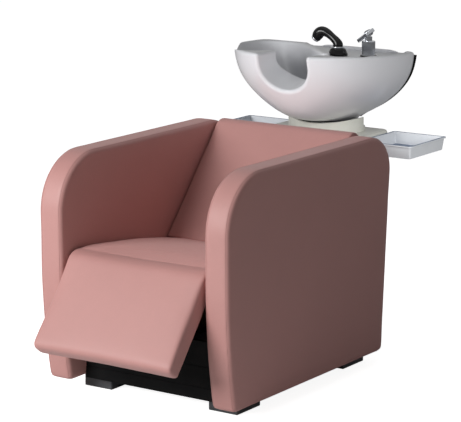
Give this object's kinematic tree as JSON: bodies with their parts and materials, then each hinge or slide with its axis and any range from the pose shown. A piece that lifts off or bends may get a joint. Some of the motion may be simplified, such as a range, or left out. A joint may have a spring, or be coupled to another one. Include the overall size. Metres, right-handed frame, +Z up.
{
  "type": "hair washing bed",
  "caption": "Salon backwash unit: upholstered reclined seat with hinged leg rest between two thick arms, joined to a column with a tilting glazed basin, hand shower, mixer and side trays.",
  "frame": {"origin": "on the floor under the middle of the whole unit at rest", "axes": "+Z up, +X to the viewer's right when facing the leg rest, +Y from the leg rest towards the basin"},
  "size_m": [0.7806, 1.3596, 1.0591],
  "materials": {
    "pink_leatherette": "pale pink leatherette over foam, fine grain",
    "plywood": "plywood board inside the upholstery",
    "black_board": "black laminated board",
    "grey_feet": "dark grey matte plastic",
    "black_steel": "black powder coat",
    "bright_steel": "ground steel",
    "warm_grey_cover": "warm grey plastic, soft gloss",
    "white_glaze": "white glaze, glossy",
    "black_plastic": "black gloss plastic",
    "chrome": "polished chrome",
    "blue_grey_tray": "pale blue-grey plastic"
  },
  "bodies": {
    "chair": {"back_board": "plywood", "back_cushion": "pink_leatherette", "base_frame": "black_steel", "column_left_foot": "grey_feet", "column_post": "black_steel", "column_right_foot": "grey_feet", "front_left_foot": "grey_feet", "front_right_foot": "grey_feet", "left_arm_core": "plywood", "left_arm_pad": "pink_leatherette", "left_leg_rest_bracket": "black_steel", "left_side_board": "plywood", "left_tilt_bearing": "black_steel", "left_tray": "blue_grey_tray", "left_tray_bracket": "black_steel", "leg_rest_shaft": "bright_steel", "pedestal_cover": "warm_grey_cover", "plinth_front_panel": "black_board", "rear_left_foot": "grey_feet", "rear_panel": "black_board", "rear_right_foot": "grey_feet", "right_arm_core": "plywood", "right_arm_pad": "pink_leatherette", "right_leg_rest_bracket": "black_steel", "right_side_board": "plywood", "right_tilt_bearing": "black_steel", "right_tray": "blue_grey_tray", "right_tray_bracket": "black_steel", "saddle_cover": "warm_grey_cover", "seat_board": "plywood", "seat_cushion": "pink_leatherette", "service_door": "warm_grey_cover", "shoulder_cover": "warm_grey_cover", "tilt_shaft": "bright_steel"},
    "leg_rest": {"leg_rest_pad": "pink_leatherette", "leg_rest_board": "plywood", "leg_rest_hinge_frame": "black_steel"},
    "basin": {"basin_bowl": "white_glaze", "basin_back_panel": "black_plastic", "basin_cradle": "black_steel", "waste_strainer": "bright_steel", "waste_tailpiece": "black_plastic", "shower_base": "black_plastic", "mixer_base": "black_plastic", "mixer_body": "chrome"},
    "hand_shower": {"shower_ring": "chrome", "shower_handle": "black_plastic", "shower_face": "chrome"},
    "mixer_collar": {"mixer_collar": "chrome"},
    "mixer_lever": {"mixer_lever": "chrome"}
  },
  "joints": [
    {"name": "leg_rest_swing", "type": "hinge", "parent": "chair", "child": "leg_rest", "pos_m": [0, -0.46316, 0.397], "axis": [-1, 0, 0], "range_deg": [-36, 48]},
    {"name": "basin_tilt", "type": "hinge", "parent": "chair", "child": "basin", "pos_m": [0, 0.55883, 0.705], "axis": [-1, 0, 0], "range_deg": [-3, 9]},
    {"name": "hand_shower_lift", "type": "slide", "parent": "basin", "child": "hand_shower", "axis": [0, 0, 1], "range_m": [0, 0.12]},
    {"name": "mixer_turn", "type": "hinge", "parent": "basin", "child": "mixer_collar", "pos_m": [0.19, 0.50784, 1.017], "axis": [0, 0, 1], "range_deg": [-45, 45]},
    {"name": "mixer_lift", "type": "hinge", "parent": "mixer_collar", "child": "mixer_lever", "pos_m": [0.19, 0.50784, 1.0423], "axis": [-0.2924, 0.9563, 0], "range_deg": [0, 25]}
  ]
}
